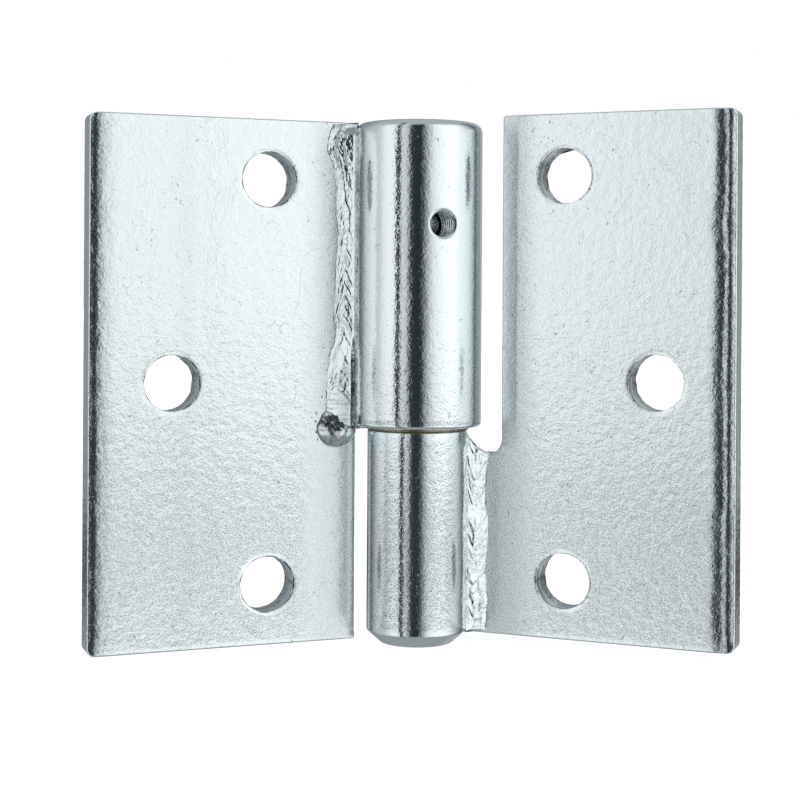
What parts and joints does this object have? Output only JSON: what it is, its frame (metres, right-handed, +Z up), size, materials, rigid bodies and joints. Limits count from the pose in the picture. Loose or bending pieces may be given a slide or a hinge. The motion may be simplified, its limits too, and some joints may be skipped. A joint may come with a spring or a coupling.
{
  "type": "lift-off butt hinge",
  "caption": "Weld-built lift-off butt hinge: flat drilled leaves welded to a closed upper socket barrel and a lower pin barrel, with a brass thrust washer between them.",
  "frame": {"origin": "middle of the line between the fixed leaf's inner bolt holes, on the leaf's back face, where it is bolted to the post", "axes": "+Z up along the hinge pin, +Y out of the fixed leaf's back face towards the post, +X from the pin to the fixed leaf's outer edge"},
  "size_m": [0.1128, 0.0515, 0.1014],
  "materials": {
    "zinc_plate": "bright zinc-plated sheared steel plate",
    "zinc_turned": "bright zinc-plated turned steel",
    "zinc_weld": "zinc-plated weld bead",
    "brass": "plain brass"
  },
  "bodies": {
    "post_side": {"fixed_leaf": "zinc_plate", "pin_barrel": "zinc_turned", "fixed_front_weld": "zinc_weld", "fixed_back_weld": "zinc_weld"},
    "washer": {"thrust_washer": "brass"},
    "lift_side": {"lift_leaf": "zinc_plate", "socket_barrel": "zinc_turned", "lift_front_weld": "zinc_weld", "lift_back_weld": "zinc_weld"}
  },
  "joints": [
    {"name": "swing", "type": "hinge", "parent": "post_side", "child": "washer", "pos_m": [-0.0274, -0.01225, -0.0099], "axis": [0, 0, 1], "range_deg": [-120, 145]},
    {"name": "lift_off", "type": "slide", "parent": "washer", "child": "lift_side", "axis": [0, 0, 1], "range_m": [0, 0.105]}
  ]
}
